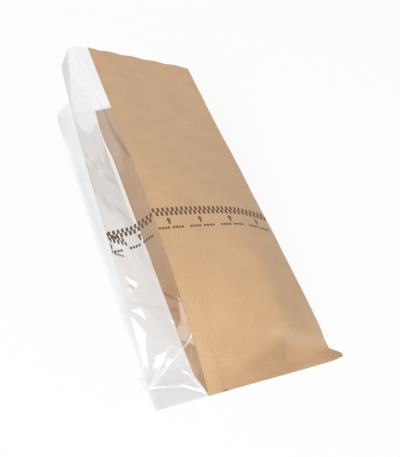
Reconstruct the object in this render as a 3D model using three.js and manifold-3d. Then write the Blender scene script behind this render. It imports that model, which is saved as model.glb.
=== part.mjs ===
// Paper snack bag with a clear film side, lying on its back with the mouth half open.
// Millimetres. X runs across the bag, Y from the bottom fold to the mouth, Z up from the table.
import * as THREE from 'three';
import { mergeVertices } from 'three/addons/utils/BufferGeometryUtils.js';
import Module from 'manifold-3d';

const wasm = await Module();
wasm.setup();

// Flat bag: two panels joined by a side gusset on the left and on the right.
const BAG_WIDTH = 121.7;
const BAG_LENGTH = 297;
const GUSSET_DEPTH = 30;

// Mouth: the front reaches past the back on the left and falls short of it on the right.
// The cut edge of its paper is a row of shallow scallops.
const MOUTH_LEAD_LEFT = 3;
const MOUTH_LAG_RIGHT = 10;
const SCALLOP_PITCH = 19;
const SCALLOP_DEPTH = 1.3;
const SCALLOP_REACH = 12;

// Lap seams between film and paper. The film reaches SEAM_SETBACK past the gusset's crease.
const SEAM_SETBACK = 3.2;
const SEAM_WIDTH = 8;
const SEAM_CLEARANCE = 0.35;
const SEAM_START = 3;

// Sheets. The walls are drawn thicker than real paper and film.
const WALL = 0.2;
const LAYER_GAP = 0.15;

// Bottom: all layers are folded under and glued to the back as one flap, a little askew.
const FLAP_LENGTH = 25;
const FLAP_SKEW = 4;
const FLAP_STEP = 12;
const FOLD_GRIP = 1;

// The right side draws in just above the bottom fold, which leaves its flat corner as an ear.
const EAR_DEPTH = 6.2;
const EAR_START = 1.2;
const EAR_LENGTH = 7;

// How far the front's folds and seam stand up at the mouth, and how far the folds move in on the way.
const SEAM_HEIGHT = 58.7;
const LEFT_FOLD_HEIGHT = 45.6;
const RIGHT_FOLD_HEIGHT = 31.2;
const LEFT_FOLD_INSET = 10.5;
const RIGHT_FOLD_INSET = 3.5;
const INSET_START = 45;
const INSET_END = 230;

// Shares of these heights at the four handles of each rising curve, from the bottom to the mouth.
const SEAM_RISE = [0, 1.1, 0.8, 1];
const LEFT_FOLD_RISE = [0, 1.1, 0.92, 1];
const RIGHT_FOLD_RISE = [0, 0.4, 0.78, 1];

// Front paper: a belly low down that leans to the right, and a pressed zone over the bottom fold.
// The pressed zone's places are distances from the seam.
const FRONT_CROWN = 8.5;
const CROWN_END = 265;
const CROWN_LEAN = 0.6;
const PRESSED_START = 10;
const PRESSED_PEAK = 55;
const PRESSED_LENGTH = 28;
const PRESSED_RIGHT = 13;

// Front film: flat in its lower left corner, sagging in its lower half, with two ridges at the mouth.
const CORNER_LENGTH = 15;
const CORNER_EASE = 0.75;
const CORNER_SLOPE = 1.4;
const WINDOW_SAG = 5.8;
const SAG_START = 15;
const SAG_END = 205;
const RIDGE_HEIGHT = 9.6;
const RIDGE_START = 200;
const LEFT_RIDGE_SHARE = 0.5;
const RIGHT_RIDGE_SHARE = 0.7;

// Back: it widens again above the ear, and its seam and left fold bow to the left.
const BACK_FLARE = 4;
const BACK_FLARE_END = 130;
const BACK_SEAM_BOW = 4.5;
const BACK_SEAM_START = 20;
const BACK_FOLD_BOW = 2;

// Mesh density: rows along the bag, closer together near the bottom fold, and steps across each strip.
const ROWS = 36;
const ROW_CROWDING = 1.5;
const FRONT_STEPS = 20;
const STRIP_STEPS = 10;
const FIRST_STEP_SHARE = 0.6;
const GUSSET_STEPS = 3;
const BACK_STEPS = 4;
const FOLD_SEGMENTS = 8;
const SLOPE_SHARE = 0.001;
const WELD_DISTANCE = 0.0001;

const HALF_WIDTH = BAG_WIDTH / 2;
const SEAM_X = -HALF_WIDTH + GUSSET_DEPTH + SEAM_SETBACK;
const FRONT_PAPER = HALF_WIDTH - SEAM_X;
const SEAM_SHARE = SEAM_WIDTH / FRONT_PAPER;
const LEFT_LENGTH = BAG_LENGTH + MOUTH_LEAD_LEFT;
const RIGHT_LENGTH = BAG_LENGTH - MOUTH_LAG_RIGHT;
const EAR_ROOT = EAR_START + EAR_LENGTH;

// Heights of the layers where they lie pressed together at the bottom fold.
const LAYER = WALL + LAYER_GAP;
const SEAM_STEP = WALL + SEAM_CLEARANCE;
const FLAP_LEVEL = WALL / 2;
const BACK_LEVEL = FLAP_LEVEL + SEAM_STEP;
const WINDOW_BACK_LEVEL = BACK_LEVEL + SEAM_STEP;
const WINDOW_FRONT_LEVEL = WINDOW_BACK_LEVEL + 3 * LAYER;
const FRONT_LEVEL = WINDOW_FRONT_LEVEL + SEAM_STEP;

const { clamp, inverseLerp, lerp, smoothstep: smooth } = THREE.MathUtils;

function ramp(value, from, to) {
  return clamp(inverseLerp(from, to, value), 0, 1);
}

// A rail is a fold or seam that runs up the bag: a cubic curve with handles at each third of its length.
function rail(x, length, height, rise) {
  const points = rise.map((share, k) => new THREE.Vector3(x, (length * k) / 3, height * share));
  return new THREE.CubicBezierCurve3(...points);
}

const SEAM_RAIL = rail(SEAM_X, LEFT_LENGTH, SEAM_HEIGHT, SEAM_RISE);
const LEFT_FOLD_RAIL = rail(-HALF_WIDTH, LEFT_LENGTH, LEFT_FOLD_HEIGHT, LEFT_FOLD_RISE);
const RIGHT_FOLD_RAIL = rail(HALF_WIDTH, RIGHT_LENGTH, RIGHT_FOLD_HEIGHT, RIGHT_FOLD_RISE);

function seamPoint(s) {
  const point = SEAM_RAIL.getPoint(s);
  point.z += FRONT_LEVEL;
  return point;
}

// The film's fold stays pressed flat along the lower left corner, then springs up.
function leftFoldPoint(s) {
  const point = LEFT_FOLD_RAIL.getPoint(s);
  const free = ramp(point.y, CORNER_LENGTH, LEFT_LENGTH) ** CORNER_EASE;
  point.x += LEFT_FOLD_INSET * s ** 3;
  point.z = WINDOW_FRONT_LEVEL + LEFT_FOLD_RAIL.getPoint(free).z;
  return point;
}

function earInset(y) {
  return EAR_DEPTH * ramp(y, EAR_START, EAR_ROOT);
}

function rightFoldPoint(s) {
  const point = RIGHT_FOLD_RAIL.getPoint(s);
  point.x -= earInset(point.y) + RIGHT_FOLD_INSET * smooth(point.y, INSET_START, INSET_END);
  point.z += FRONT_LEVEL;
  return point;
}

// The back lies on the table and steps up over the glued flap.
function backPoint(s, x) {
  const y = s * BAG_LENGTH;
  const overFlap = 1 - smooth(y, FLAP_LENGTH, FLAP_LENGTH + FLAP_STEP);
  return new THREE.Vector3(x, y, lerp(FLAP_LEVEL, BACK_LEVEL, overFlap));
}

function backRightPoint(s) {
  const y = s * BAG_LENGTH;
  return backPoint(s, HALF_WIDTH - earInset(y) + BACK_FLARE * smooth(y, EAR_ROOT, BACK_FLARE_END));
}

function backSeamPoint(s, offset) {
  const bow = BACK_SEAM_BOW * smooth(s * BAG_LENGTH, 0, BACK_SEAM_START) * (1 - s);
  return backPoint(s, SEAM_X - bow + offset);
}

function backLeftPoint(s) {
  return backPoint(s, -HALF_WIDTH - BACK_FOLD_BOW * Math.sin(Math.PI * s));
}

function lowered(point, distance) {
  return point.clone().setZ(point.z - distance);
}

// A point of a strip between two rails, moved out by bow square to the strip's chord in the section.
function bowedPoint(left, right, u, bow) {
  const chord = right.clone().sub(left).setY(0).normalize();
  const outward = new THREE.Vector3(-chord.z, 0, chord.x);
  return left.clone().lerp(right, u).addScaledVector(outward, bow);
}

// Share of the belly across the front: none at both edges, all of it right of the middle.
function crownShare(u) {
  const peak = CROWN_LEAN ** CROWN_LEAN / (1 + CROWN_LEAN) ** (1 + CROWN_LEAN);
  return (u * (1 - u) ** CROWN_LEAN) / peak;
}

// How far up from the bottom fold the front is pressed down: longest right of the middle, none at the seam.
function pressedLength(across) {
  const length = lerp(PRESSED_LENGTH, PRESSED_RIGHT, smooth(across, PRESSED_PEAK, FRONT_PAPER));
  return length * smooth(across, PRESSED_START, PRESSED_PEAK);
}

// How far the front's cut edge falls back between the points of its scallops.
function scallopDepth(s, across) {
  const depth = SCALLOP_DEPTH * (1 - Math.abs(Math.cos((Math.PI * across) / SCALLOP_PITCH)));
  return depth * smooth(s * LEFT_LENGTH, LEFT_LENGTH - SCALLOP_REACH, LEFT_LENGTH);
}

function frontPoint(s, u) {
  const across = u * FRONT_PAPER;
  const row = s - scallopDepth(s, across) / LEFT_LENGTH;
  const left = seamPoint(row);
  const crown = FRONT_CROWN * crownShare(u) * (1 - smooth(left.y, 0, CROWN_END));
  const point = bowedPoint(left, rightFoldPoint(row), u, crown);
  point.z = lerp(FRONT_LEVEL, point.z, smooth(left.y, 0, pressedLength(across)));
  return point;
}

// The film's lap follows the inside of the front paper, one seam step below it.
function underFront(s, u) {
  const across = frontPoint(s, u + SLOPE_SHARE).sub(frontPoint(s, u - SLOPE_SHARE));
  const along = frontPoint(s + SLOPE_SHARE, u).sub(frontPoint(s - SLOPE_SHARE, u));
  const normal = across.cross(along).normalize();
  return frontPoint(s, u).addScaledVector(normal, -SEAM_STEP);
}

// Above a crease from the left fold to the seam's foot the film climbs steeply off its flat corner.
function windowPoint(s, u) {
  const y = s * LEFT_LENGTH;
  const sag = WINDOW_SAG * Math.sin(Math.PI * ramp(y, SAG_START, SAG_END)) ** 2;
  const ridge = RIDGE_HEIGHT * ramp(y, RIDGE_START, LEFT_LENGTH);
  const ridgeShare = Math.min(u / LEFT_RIDGE_SHARE, 1, (1 - u) / (1 - RIGHT_RIDGE_SHARE));
  const bow = ridge * ridgeShare - 2 * sag * Math.min(u, 1 - u);
  const point = bowedPoint(leftFoldPoint(s), underFront(s, 0), u, bow);
  const climb = CORNER_SLOPE * Math.max(0, y - CORNER_LENGTH * (1 - u));
  point.z = Math.min(point.z, WINDOW_FRONT_LEVEL + climb);
  return point;
}

// A gusset's inner crease: both halves keep their depth, so it moves out as the gusset opens.
// It points straight in while the gusset is shut, and turns square to the opening as that grows.
function gussetCrease(upper, lower, side) {
  const middle = upper.clone().add(lower).multiplyScalar(0.5);
  const opening = upper.clone().sub(lower).setY(0);
  const half = opening.length() / 2;
  const reach = Math.sqrt(Math.max(0, GUSSET_DEPTH ** 2 - half ** 2));
  const tilt = (opening.x * opening.z) / (2 * GUSSET_DEPTH) ** 2;
  const inward = new THREE.Vector3(1, 0, -tilt).normalize();
  return middle.addScaledVector(inward, -side * reach);
}

function straight(from, to, steps) {
  return Array.from({ length: steps + 1 }, (_, k) => from.clone().lerp(to, k / steps));
}

// The point one layer inside a fold's edge, measured square to the edge where that climbs.
function insideFold(edgePoint, s) {
  const run = edgePoint(s + SLOPE_SHARE).sub(edgePoint(s - SLOPE_SHARE));
  return lowered(edgePoint(s), LAYER * Math.hypot(1, run.z / run.y));
}

// The two layers of a gusset, with its inner crease drawn as a narrow square fold.
function gussetPoints(upper, lower, side) {
  const crease = gussetCrease(upper, lower, side);
  return [
    ...straight(upper, lowered(crease, -LAYER / 2), GUSSET_STEPS),
    ...straight(lowered(crease, LAYER / 2), lower, GUSSET_STEPS),
  ];
}

// One section of the paper: front panel, right gusset, back panel.
function paperSection(s) {
  const lapPoints = [0, SEAM_SHARE / 2].map((u) => frontPoint(s, u));
  const panelPoints = Array.from({ length: FRONT_STEPS + 1 }, (_, k) =>
    frontPoint(s, lerp(SEAM_SHARE, 1, k / FRONT_STEPS)),
  );
  const insideFront = insideFold((t) => frontPoint(t, 1), s);
  const backRight = backRightPoint(s);
  return [
    ...lapPoints,
    ...panelPoints,
    ...gussetPoints(insideFront, lowered(backRight, -LAYER), 1),
    ...straight(backRight, backSeamPoint(s, 0), BACK_STEPS),
  ];
}

// One section of the film: lap under the front, front strip, left gusset, back strip, lap on the back.
function filmSection(s) {
  const lapRow = lerp(SEAM_START / LEFT_LENGTH, 1, s);
  const lapPoints = [SEAM_SHARE, SEAM_SHARE / 2, 0].map((u) => underFront(lapRow, u));
  const stripPoints = Array.from({ length: STRIP_STEPS }, (_, k) =>
    windowPoint(s, (STRIP_STEPS - k - FIRST_STEP_SHARE) / STRIP_STEPS),
  );
  const backLeft = lowered(backLeftPoint(s), -SEAM_STEP);
  const backInner = lowered(backSeamPoint(s, -SEAM_START), -SEAM_STEP);
  return [
    ...lapPoints,
    ...stripPoints,
    leftFoldPoint(s),
    ...gussetPoints(insideFold(leftFoldPoint, s), lowered(backLeft, -LAYER), -1),
    ...straight(backLeft, backInner, GUSSET_STEPS),
    lowered(backSeamPoint(lapRow, 0), -SEAM_STEP),
    lowered(backSeamPoint(lapRow, SEAM_WIDTH), -SEAM_STEP),
  ];
}

// Closed solid of a folded sheet: the middle surface moved half a wall to each side, with its rim closed.
function sheetGeometry(section) {
  const rows = Array.from({ length: ROWS + 1 }, (_, i) => section((i / ROWS) ** ROW_CROWDING));
  const columns = rows[0].length;
  const positions = [];
  for (const side of [1, -1]) {
    for (let i = 0; i <= ROWS; i += 1) {
      for (let j = 0; j < columns; j += 1) {
        const normal = sheetNormal(rows, i, j);
        const point = rows[i][j].clone().addScaledVector(normal, (side * WALL) / 2);
        positions.push(point.x, point.y, point.z);
      }
    }
  }
  const inner = (ROWS + 1) * columns;
  const indices = [];
  const quad = (a, b, c, d) => indices.push(a, b, c, a, c, d);
  for (let i = 0; i < ROWS; i += 1) {
    for (let j = 0; j < columns - 1; j += 1) {
      const a = i * columns + j;
      quad(a, a + 1, a + columns + 1, a + columns);
      quad(inner + a, inner + a + columns, inner + a + columns + 1, inner + a + 1);
    }
  }
  for (const rim of rimEdges(columns)) {
    quad(rim[1], rim[0], inner + rim[0], inner + rim[1]);
  }
  const geometry = new THREE.BufferGeometry();
  geometry.setAttribute('position', new THREE.Float32BufferAttribute(positions, 3));
  geometry.setIndex(indices);
  return geometry;
}

function sheetNormal(rows, i, j) {
  const last = rows[0].length - 1;
  const across = rows[i][Math.min(j + 1, last)].clone().sub(rows[i][Math.max(j - 1, 0)]);
  const along = rows[Math.min(i + 1, ROWS)][j].clone().sub(rows[Math.max(i - 1, 0)][j]);
  return across.cross(along).normalize();
}

// Edges of the sheet's rim, in order round the outer face.
function rimEdges(columns) {
  const edges = [];
  const top = ROWS * columns;
  for (let j = 0; j < columns - 1; j += 1) {
    edges.push([j, j + 1]);
    edges.push([top + j + 1, top + j]);
  }
  for (let i = 0; i < ROWS; i += 1) {
    const start = i * columns;
    edges.push([start + columns, start]);
    edges.push([start + columns - 1, start + 2 * columns - 1]);
  }
  return edges;
}

// Rounded bottom fold that ties all layers together, from one x to another.
function foldGeometry(fromX, toX, height) {
  const profile = new THREE.Shape();
  profile.moveTo(FOLD_GRIP, 0);
  profile.lineTo(FOLD_GRIP, height);
  profile.lineTo(0, height);
  profile.absarc(0, height / 2, height / 2, Math.PI / 2, (3 * Math.PI) / 2, false);
  const geometry = new THREE.ExtrudeGeometry(profile, {
    depth: toX - fromX,
    bevelEnabled: false,
    curveSegments: FOLD_SEGMENTS,
  });
  const axes = new THREE.Matrix4().makeBasis(
    new THREE.Vector3(0, 1, 0),
    new THREE.Vector3(0, 0, 1),
    new THREE.Vector3(1, 0, 0),
  );
  return geometry.applyMatrix4(axes).translate(fromX, 0, 0);
}

// The flap under the back, a flat sheet that leans to the left by FLAP_SKEW.
function flapPoint(x, y) {
  return new THREE.Vector2(x - (FLAP_SKEW * y) / FLAP_LENGTH, y);
}

function flapGeometry(outline) {
  return new THREE.ExtrudeGeometry(new THREE.Shape(outline), { depth: WALL, bevelEnabled: false });
}

function toSolid(geometry) {
  geometry.deleteAttribute('normal');
  geometry.deleteAttribute('uv');
  const merged = mergeVertices(geometry, WELD_DISTANCE);
  return new wasm.Manifold(
    new wasm.Mesh({
      numProp: 3,
      vertProperties: new Float32Array(merged.attributes.position.array),
      triVerts: new Uint32Array(merged.index.array),
    }),
  );
}

function joined(geometries) {
  const solid = geometries.map(toSolid).reduce((whole, piece) => whole.add(piece));
  const mesh = solid.getMesh();
  const geometry = new THREE.BufferGeometry();
  geometry.setAttribute('position', new THREE.BufferAttribute(mesh.vertProperties, 3));
  geometry.setIndex(new THREE.BufferAttribute(mesh.triVerts, 1));
  geometry.computeVertexNormals();
  return geometry;
}

// The paper's flap draws in under the ear.
function kraftSheet() {
  const flapOutline = [
    flapPoint(SEAM_X, 0),
    flapPoint(HALF_WIDTH, 0),
    flapPoint(HALF_WIDTH - EAR_DEPTH, EAR_ROOT),
    flapPoint(HALF_WIDTH - EAR_DEPTH, FLAP_LENGTH),
    flapPoint(SEAM_X, FLAP_LENGTH),
  ];
  const geometry = joined([
    sheetGeometry(paperSection),
    foldGeometry(SEAM_X, HALF_WIDTH, FRONT_LEVEL + WALL / 2),
    flapGeometry(flapOutline),
  ]);
  const material = new THREE.MeshStandardMaterial({ color: 0xc9a785, roughness: 0.8, metalness: 0 });
  const mesh = new THREE.Mesh(geometry, material);
  mesh.name = 'kraft_sheet';
  return mesh;
}

function windowFilm() {
  const edgeX = flapPoint(SEAM_X, FOLD_GRIP).x - SEAM_CLEARANCE;
  const flapOutline = [
    flapPoint(-HALF_WIDTH, 0),
    flapPoint(edgeX, 0),
    flapPoint(edgeX, FLAP_LENGTH),
    flapPoint(-HALF_WIDTH, FLAP_LENGTH),
  ];
  const geometry = joined([
    sheetGeometry(filmSection),
    foldGeometry(-HALF_WIDTH, edgeX, WINDOW_FRONT_LEVEL + WALL / 2),
    flapGeometry(flapOutline),
  ]);
  const material = new THREE.MeshStandardMaterial({
    color: 0xf2f3f3,
    roughness: 0.1,
    metalness: 0,
    transparent: true,
    opacity: 0.3,
  });
  const mesh = new THREE.Mesh(geometry, material);
  mesh.name = 'window_film';
  return mesh;
}

// The origin is under the middle of the bag, on the table.
const bag = new THREE.Group();
bag.add(kraftSheet(), windowFilm());
const reach = new THREE.Box3().setFromObject(bag);
const centre = reach.getCenter(new THREE.Vector3());
bag.position.set(-centre.x, -centre.y, -reach.min.z);

export default bag;
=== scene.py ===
import math
import random

import bpy
import numpy as np
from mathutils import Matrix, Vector, noise
from mathutils.geometry import delaunay_2d_cdt


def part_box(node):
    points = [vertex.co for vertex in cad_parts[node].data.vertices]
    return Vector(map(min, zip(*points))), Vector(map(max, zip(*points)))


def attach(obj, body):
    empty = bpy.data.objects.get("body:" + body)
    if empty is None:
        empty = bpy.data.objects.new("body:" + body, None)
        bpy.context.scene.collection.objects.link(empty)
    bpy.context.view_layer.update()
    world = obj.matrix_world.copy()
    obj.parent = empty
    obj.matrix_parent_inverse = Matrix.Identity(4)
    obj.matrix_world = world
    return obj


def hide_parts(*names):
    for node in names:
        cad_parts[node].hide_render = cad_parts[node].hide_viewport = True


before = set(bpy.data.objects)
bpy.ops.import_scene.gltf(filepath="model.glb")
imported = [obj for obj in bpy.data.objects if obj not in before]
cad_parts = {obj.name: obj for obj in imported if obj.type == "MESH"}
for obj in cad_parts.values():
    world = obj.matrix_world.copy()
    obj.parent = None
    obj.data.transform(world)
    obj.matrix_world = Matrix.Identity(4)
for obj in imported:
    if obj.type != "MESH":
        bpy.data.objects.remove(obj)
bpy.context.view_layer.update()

# Sizes are in millimetres in the bag's own frame: X across, Y from the bottom fold to the mouth, Z up.
# Meshes are written in metres, in the row's frame.
# Values named RISE, FALL or PART are spans, over which something comes in or goes out. A ZONE is two spans,
# in and out again. A STEP is two values and the span between them. MOVES are rows of distance and span.
MM = 0.001
HALF_WIDTH = 60.0
GUSSET_DEPTH = 30.0
FILM_GUSSET_DEPTH = 32.5
SEAM_X = -26.8
BACK_LENGTH = 297.0
LEFT_LENGTH = 300.0
RIGHT_LENGTH = 287.0
SEAM_LAP = 8.0
STRIP_WIDTH = SEAM_X + HALF_WIDTH
PANEL_WIDTH = HALF_WIDTH - SEAM_X
PAPER_THICKNESS = 0.12
FILM_THICKNESS = 0.04

# Heights of the layers pressed together at the bottom fold, and the flap folded under them.
LAYER = 0.25
FLAP_LEVEL = 0.1
BACK_LEVEL = 0.4
FILM_LEVEL = BACK_LEVEL + 4 * LAYER
SEAM_DROP = 0.2
FRONT_LEVEL = FILM_LEVEL + SEAM_DROP
FLAP_LENGTH = 25.0
FLAP_SKEW = 4.0
FLAP_RUN = 12.0
CAD_FOLD_RADIUS = 1.45

# Pressed corner at the bottom right.
EAR_TIP = 61.7
EAR_DEPTH = 6.9
EAR_START = 1.2
EAR_LENGTH = 6.4

# Grids of the sheets. Graded ones are in parts of (end, steps), as shares of the length or width.
PAPER_ROWS = ((0.12, 60), (1.0, 180))
PAPER_FRONT_STEPS = 96
PAPER_GUSSET_STEPS = 16
PAPER_BACK_COLUMNS = ((0.8, 12), (1.0, 24))
FILM_ROWS = ((0.2, 100), (0.3, 40), (1.0, 130))
FILM_LAP_STEPS = 3
FILM_STRIP_STEPS = 90
FILM_GUSSET_STEPS = 20
FILM_BACK_STEPS = 10
FLAP_STEPS = 10
FOLD_STEPS = 5
FOLD_ANGLE = 75.0
FOLD_RUN = 3.0
FOLD_MARGIN = 0.5
WELD_DISTANCE = 1e-6
SHARP_ANGLE = 40.0

kraft_low, kraft_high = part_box("kraft_sheet")
SHIFT = np.array([kraft_high[0] / MM - EAR_TIP, kraft_low[1] / MM + CAD_FOLD_RADIUS, 0.0])


# Small helpers

def to_row(p):
    """Bag frame in millimetres to row frame in metres."""
    return (np.asarray(p, dtype=float) + SHIFT) * MM


def clamp(x):
    return np.clip(x, 0.0, 1.0)


def smooth(x, low, high):
    """Goes smoothly from 0 at low to 1 at high."""
    t = clamp((x - low) / (high - low))
    return t * t * (3.0 - 2.0 * t)


def lerp(a, b, t):
    return a + (b - a) * t


def fading(x, span):
    """Goes smoothly from 1 to 0 over a span."""
    return 1 - smooth(x, *span)


def hump(x, zone):
    """Rises from 0 to 1 over the first span of a zone and falls back to 0 over the second."""
    return smooth(x, *zone[:2]) * fading(x, zone[2:])


def stepped(x, step):
    """Goes from the first value of a step to the second over its span."""
    first, second, low, high = step
    return lerp(first, second, smooth(x, low, high))


def shifted(start, x, moves):
    """A start value with all its moves up to x."""
    for distance, low, high in moves:
        start = start + distance * smooth(x, low, high)
    return start


def bernstein(s, a, b, c, d):
    r = 1.0 - s
    return r ** 3 * a + 3 * r * r * s * b + 3 * r * s * s * c + s ** 3 * d


def points(x, y, z):
    return np.stack(np.broadcast_arrays(x, y, z), axis=-1).astype(float)


def raised(p, height):
    return p + points(0.0, 0.0, height)


def between(a, b, u):
    return a + (b - a) * u[..., None]


def graded(parts):
    """Values from 0 upwards in parts of (end, steps)."""
    values, start = [np.zeros(1)], 0.0
    for end, steps in parts:
        values.append(np.linspace(start, end, steps + 1)[1:])
        start = end
    return np.concatenate(values)


def shares(steps):
    return np.linspace(0.0, 1.0, steps + 1)


def grid_parameters(rows, columns):
    return np.meshgrid(rows, columns, indexing="ij")


def soft_min(a, b, radius):
    """The lesser of a and b, with the corner between them rounded."""
    return 0.5 * (a + b - np.sqrt((a - b) ** 2 + radius ** 2))


def ripple(x, y, size, seed):
    """Smooth noise between about -1 and 1 with waves of about the given size."""
    def value(px, py):
        return noise.noise(Vector((px / size, py / size, seed)))
    return np.vectorize(value)(x, y)


def path_distance(a, y, path):
    """Distance to the nearest point of a path of (a, y) points."""
    nearest = np.full(np.broadcast(a, y).shape, np.inf)
    for (a0, y0), (a1, y1) in zip(path, path[1:]):
        run, rise = a1 - a0, y1 - y0
        along = clamp(((a - a0) * run + (y - y0) * rise) / (run * run + rise * rise))
        nearest = np.minimum(nearest, np.hypot(a - a0 - run * along, y - y0 - rise * along))
    return nearest


def near_path(a, y, path, width):
    """1 on a path, and falling to 0 beside it over about the width."""
    return np.exp(-(path_distance(a, y, path) / width) ** 2)


def marked(a, y, marks):
    """Sum of the darkness that marks of (path, width, darkness) give each place."""
    total = 0.0
    for path, width, darkness in marks:
        total = total + darkness * near_path(a, y, path, width)
    return total


# Rails: the folds and seams that run up the bag, for s from 0 at the bottom to 1 at the mouth.
# A height at the mouth goes with a curve, which gives the height up the bag as shares of it.
SEAM_HEIGHT = 58.7
SEAM_CURVE = (0.0, 1.1, 0.8, 1.0)
LEFT_FOLD_HEIGHT = 45.6
LEFT_FOLD_CURVE = (0.0, 1.1, 0.92, 1.0)
LEFT_FOLD_EASE = 0.75
LEFT_FOLD_START = 15.0
LEFT_FOLD_INSET = 10.5
LEFT_INSET_POWER = 2.4
RIGHT_FOLD_HEIGHT = 31.2
RIGHT_FOLD_CURVE = (0.0, 0.4, 0.78, 1.0)
RIGHT_FOLD_MOVES = [(0.9, 12, 26), (-0.7, 40, 90), (-1.4, 90, 150), (-1.6, 150, 230)]
BACK_RIGHT_INSET = 0.3
BACK_RIGHT_MOVES = [(2, 20, 60), (3, 60, 130)]
BACK_SEAM_INSET = 0.6
BACK_SEAM_SWING = 3.9
BACK_SEAM_RISE = (0, 20)
BACK_SEAM_REACH = 270.0
BACK_SEAM_KINK = 1.7
KINK_ZONE = (225, 260, 268, 296)
BACK_LEFT_BULGE = 2.0


def seam_rail(s):
    return points(SEAM_X, LEFT_LENGTH * s, FRONT_LEVEL + SEAM_HEIGHT * bernstein(s, *SEAM_CURVE))


def left_fold_rail(s):
    y = LEFT_LENGTH * s
    t = clamp((y - LEFT_FOLD_START) / (LEFT_LENGTH - LEFT_FOLD_START)) ** LEFT_FOLD_EASE
    return points(-HALF_WIDTH + LEFT_FOLD_INSET * s ** LEFT_INSET_POWER, y,
                  FILM_LEVEL + LEFT_FOLD_HEIGHT * bernstein(t, *LEFT_FOLD_CURVE))


def ear_edge(y):
    """Right edge of the pressed corner at the bottom, from its tip to its root."""
    return EAR_TIP - EAR_DEPTH * clamp((y - EAR_START) / EAR_LENGTH)


def right_fold_rail(s):
    y = RIGHT_LENGTH * s
    x = shifted(ear_edge(y), y, RIGHT_FOLD_MOVES)
    return points(x, y, FRONT_LEVEL + RIGHT_FOLD_HEIGHT * bernstein(s, *RIGHT_FOLD_CURVE))


def back_level(y):
    return lerp(BACK_LEVEL, FLAP_LEVEL, smooth(y, FLAP_LENGTH, FLAP_LENGTH + FLAP_RUN))


def back_right_rail(s):
    y = BACK_LENGTH * s
    return points(shifted(ear_edge(y) - BACK_RIGHT_INSET, y, BACK_RIGHT_MOVES), y, back_level(y))


def back_seam_rail(s):
    y = BACK_LENGTH * s
    swing = BACK_SEAM_SWING * smooth(y, *BACK_SEAM_RISE) * clamp(1 - y / BACK_SEAM_REACH)
    kink = BACK_SEAM_KINK * hump(y, KINK_ZONE)
    return points(SEAM_X - BACK_SEAM_INSET - swing - kink, y, back_level(y))


def back_left_rail(s):
    y = BACK_LENGTH * s
    return points(-HALF_WIDTH - BACK_LEFT_BULGE * np.sin(np.pi * s), y, back_level(y))


def bowed(left, right, u, bow):
    """A strip from left to right, moved out square to its chord in the section by bow."""
    chord = right - left
    length = np.hypot(chord[..., 0], chord[..., 2])
    out = points(-chord[..., 2] / length, 0.0, chord[..., 0] / length)
    return left + chord * u[..., None] + out * np.broadcast_to(bow, u.shape)[..., None]


def gusset_crease(upper, lower, depth, side):
    """The inner fold of a gusset between its outer edges; side is 1 on the right and -1 on the left."""
    middle = (upper + lower) / 2
    opening = upper - lower
    half = np.hypot(opening[..., 0], opening[..., 2]) / 2
    reach = np.sqrt(np.maximum(0.0, depth ** 2 - half ** 2))
    tilt = opening[..., 0] * opening[..., 2] / (2 * depth) ** 2
    inward = points(1.0, 0.0, -tilt) / np.sqrt(1 + tilt ** 2)[..., None]
    return middle - inward * (side * reach)[..., None]


# Front of the paper: a belly, a foot that is pressed down, and waves in the cut at the mouth.
BELLY = 8.5
BELLY_REACH = 178.0
BELLY_FALL = (150, 300)
BELLY_RISE_STEP = (14, 34, 0.5, 0.85)
RIDGE_PLACE = 0.77
RIDGE_MOVES = [(-0.1, 8, 46), (0.05, 69, 110)]
RIDGE_ROUNDING = 0.45
ARCH_RISE = (80, 170)
PRESSED_START = 5.0
PRESSED_PEAK = 55.0
PRESSED_LENGTH = 19.0
PRESSED_RIGHT = 10.5
PRESSED_SHARE = 0.6
PRESSED_ROUNDING = 3.0
PRESSED_LEAST = 0.01
LIP = 0.8
LIP_REACH = 4.0
LIP_ZONE = (0.3, 0.6, 0.85, 1.0)
WAVE = 0.2
WAVE_SIZE = 34.0
WAVE_STRETCH = 4.0
WAVE_SEED = 3.0
WAVE_RISE = (0.0, 0.15)
CUT_PITCH = 19.0
CUT_DEPTH = 1.3
CUT_POWER = 40


def pressed_length(u):
    """How far up from the bottom fold the front is pressed: most right of the middle, least at the seam."""
    across = u * PANEL_WIDTH
    rising = PRESSED_LENGTH * (across - PRESSED_START) / (PRESSED_PEAK - PRESSED_START)
    past_peak = (across - PRESSED_PEAK) / (PANEL_WIDTH - PRESSED_PEAK)
    falling = lerp(PRESSED_LENGTH, PRESSED_RIGHT, past_peak)
    return np.maximum(PRESSED_LEAST, soft_min(rising, falling, PRESSED_ROUNDING))


def crown_share(u, y):
    """Section of the belly: a soft ridge low down, which runs out to the ear, and a plain arch higher up."""
    ridge = shifted(RIDGE_PLACE, y, RIDGE_MOVES)
    tent = soft_min(u / ridge, (1 - u) / (1 - ridge), RIDGE_ROUNDING)
    left_end = soft_min(0.0, 1 / (1 - ridge), RIDGE_ROUNDING)
    right_end = soft_min(1 / ridge, 0.0, RIDGE_ROUNDING)
    tent = (tent - lerp(left_end, right_end, u)) / (1 - RIDGE_ROUNDING / 2)
    return lerp(tent, 4 * u * (1 - u), smooth(y, *ARCH_RISE))


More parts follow.
